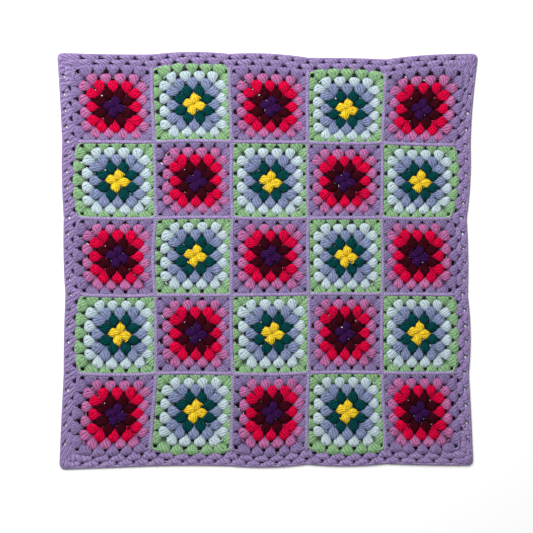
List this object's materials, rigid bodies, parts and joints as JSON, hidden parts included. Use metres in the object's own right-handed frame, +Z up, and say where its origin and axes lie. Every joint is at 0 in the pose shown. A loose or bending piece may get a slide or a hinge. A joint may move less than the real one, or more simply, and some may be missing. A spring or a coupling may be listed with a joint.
{
  "type": "crochet blanket",
  "caption": "Square lap or baby blanket of crocheted granny squares in a checkerboard of two colourways, joined with ridged seams and edged with a narrow cluster border, lying flat.",
  "frame": {"origin": "middle of the underside, on the surface that the blanket lies on", "axes": "+Z up out of the right side of the work, +Y towards the blanket's far edge and +X towards its right edge as pictured"},
  "size_m": [0.748, 0.7416, 0.0054],
  "materials": {
    "yarn_lilac": "matt soft-spun acrylic yarn, lilac outside with purple, maroon, crimson and pink rounds",
    "yarn_light_green": "matt soft-spun acrylic yarn, light green outside with yellow, teal, grey blue and ice blue rounds"
  },
  "bodies": {
    "root": {"panel_1_1": "yarn_lilac", "panel_1_2": "yarn_light_green", "panel_1_3": "yarn_lilac", "panel_1_4": "yarn_light_green", "panel_1_5": "yarn_lilac", "panel_2_1": "yarn_light_green", "panel_2_2": "yarn_lilac", "panel_2_3": "yarn_light_green", "panel_2_4": "yarn_lilac", "panel_2_5": "yarn_light_green", "panel_3_1": "yarn_lilac", "panel_3_2": "yarn_light_green", "panel_3_3": "yarn_lilac", "panel_3_4": "yarn_light_green", "panel_3_5": "yarn_lilac", "panel_4_1": "yarn_light_green", "panel_4_2": "yarn_lilac", "panel_4_3": "yarn_light_green", "panel_4_4": "yarn_lilac", "panel_4_5": "yarn_light_green", "panel_5_1": "yarn_lilac", "panel_5_2": "yarn_light_green", "panel_5_3": "yarn_lilac", "panel_5_4": "yarn_light_green", "panel_5_5": "yarn_lilac", "seam_upright_1": "yarn_lilac", "seam_upright_2": "yarn_lilac", "seam_upright_3": "yarn_lilac", "seam_upright_4": "yarn_lilac", "seam_level_1_1": "yarn_lilac", "seam_level_1_2": "yarn_lilac", "seam_level_1_3": "yarn_lilac", "seam_level_1_4": "yarn_lilac", "seam_level_1_5": "yarn_lilac", "seam_level_2_1": "yarn_lilac", "seam_level_2_2": "yarn_lilac", "seam_level_2_3": "yarn_lilac", "seam_level_2_4": "yarn_lilac", "seam_level_2_5": "yarn_lilac", "seam_level_3_1": "yarn_lilac", "seam_level_3_2": "yarn_lilac", "seam_level_3_3": "yarn_lilac", "seam_level_3_4": "yarn_lilac", "seam_level_3_5": "yarn_lilac", "seam_level_4_1": "yarn_lilac", "seam_level_4_2": "yarn_lilac", "seam_level_4_3": "yarn_lilac", "seam_level_4_4": "yarn_lilac", "seam_level_4_5": "yarn_lilac", "border": "yarn_lilac"}
  },
  "joints": []
}
